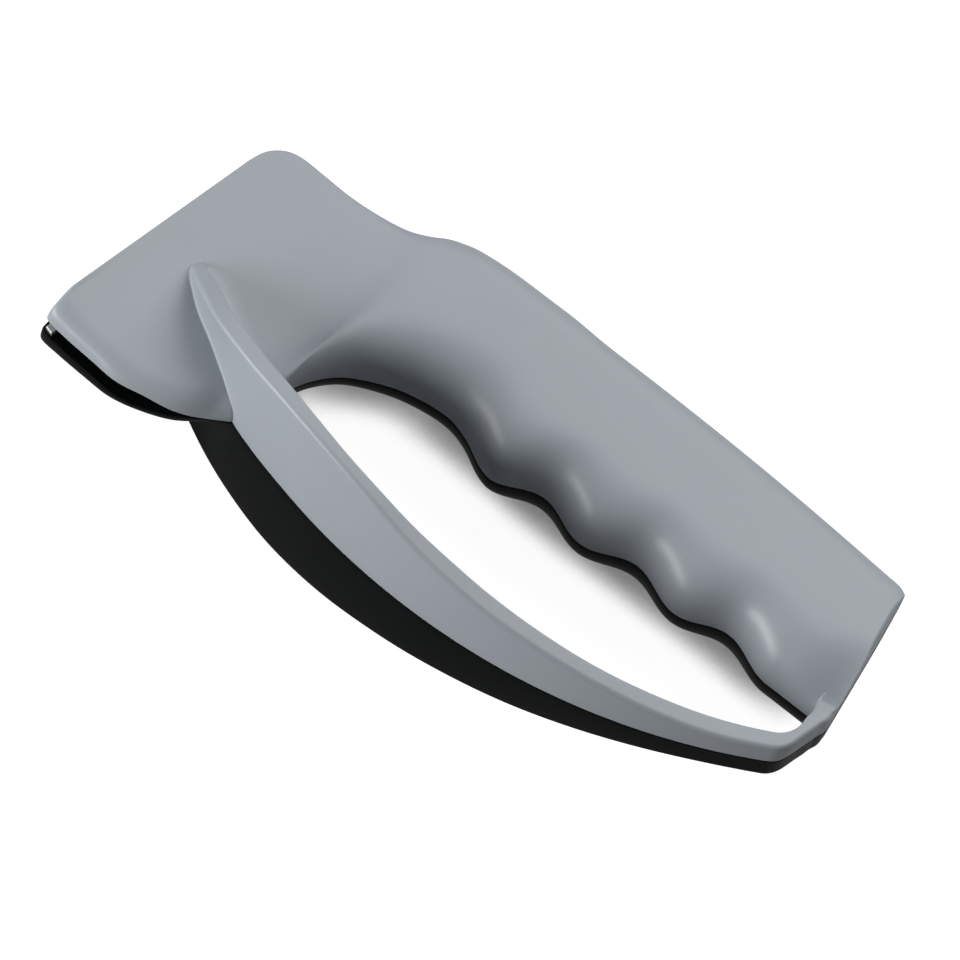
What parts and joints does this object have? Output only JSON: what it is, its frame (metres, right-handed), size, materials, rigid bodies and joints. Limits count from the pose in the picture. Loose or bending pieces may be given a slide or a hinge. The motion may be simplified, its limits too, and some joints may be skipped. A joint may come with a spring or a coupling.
{
  "type": "pull through knife sharpener",
  "caption": "Hand-held pull-through knife sharpener: grey and black moulded half shells with a finger guard and crossed hard-metal inserts in the blade slot.",
  "frame": {"origin": "centre of the bounding box's lower face, with the tool lying on its black side", "axes": "+X from the head to the butt of the handle, +Y from the guard to the spine, +Z from the black half up to the grey half"},
  "size_m": [0.1452, 0.067, 0.0374],
  "materials": {
    "grey_plastic": "satin moulded, grey",
    "black_plastic": "satin moulded, black",
    "hard_metal": "ground tungsten carbide"
  },
  "bodies": {
    "root": {"grey_half_shell": "grey_plastic", "black_half_shell": "black_plastic", "front_carbide_insert": "hard_metal", "rear_carbide_insert": "hard_metal"}
  },
  "joints": []
}
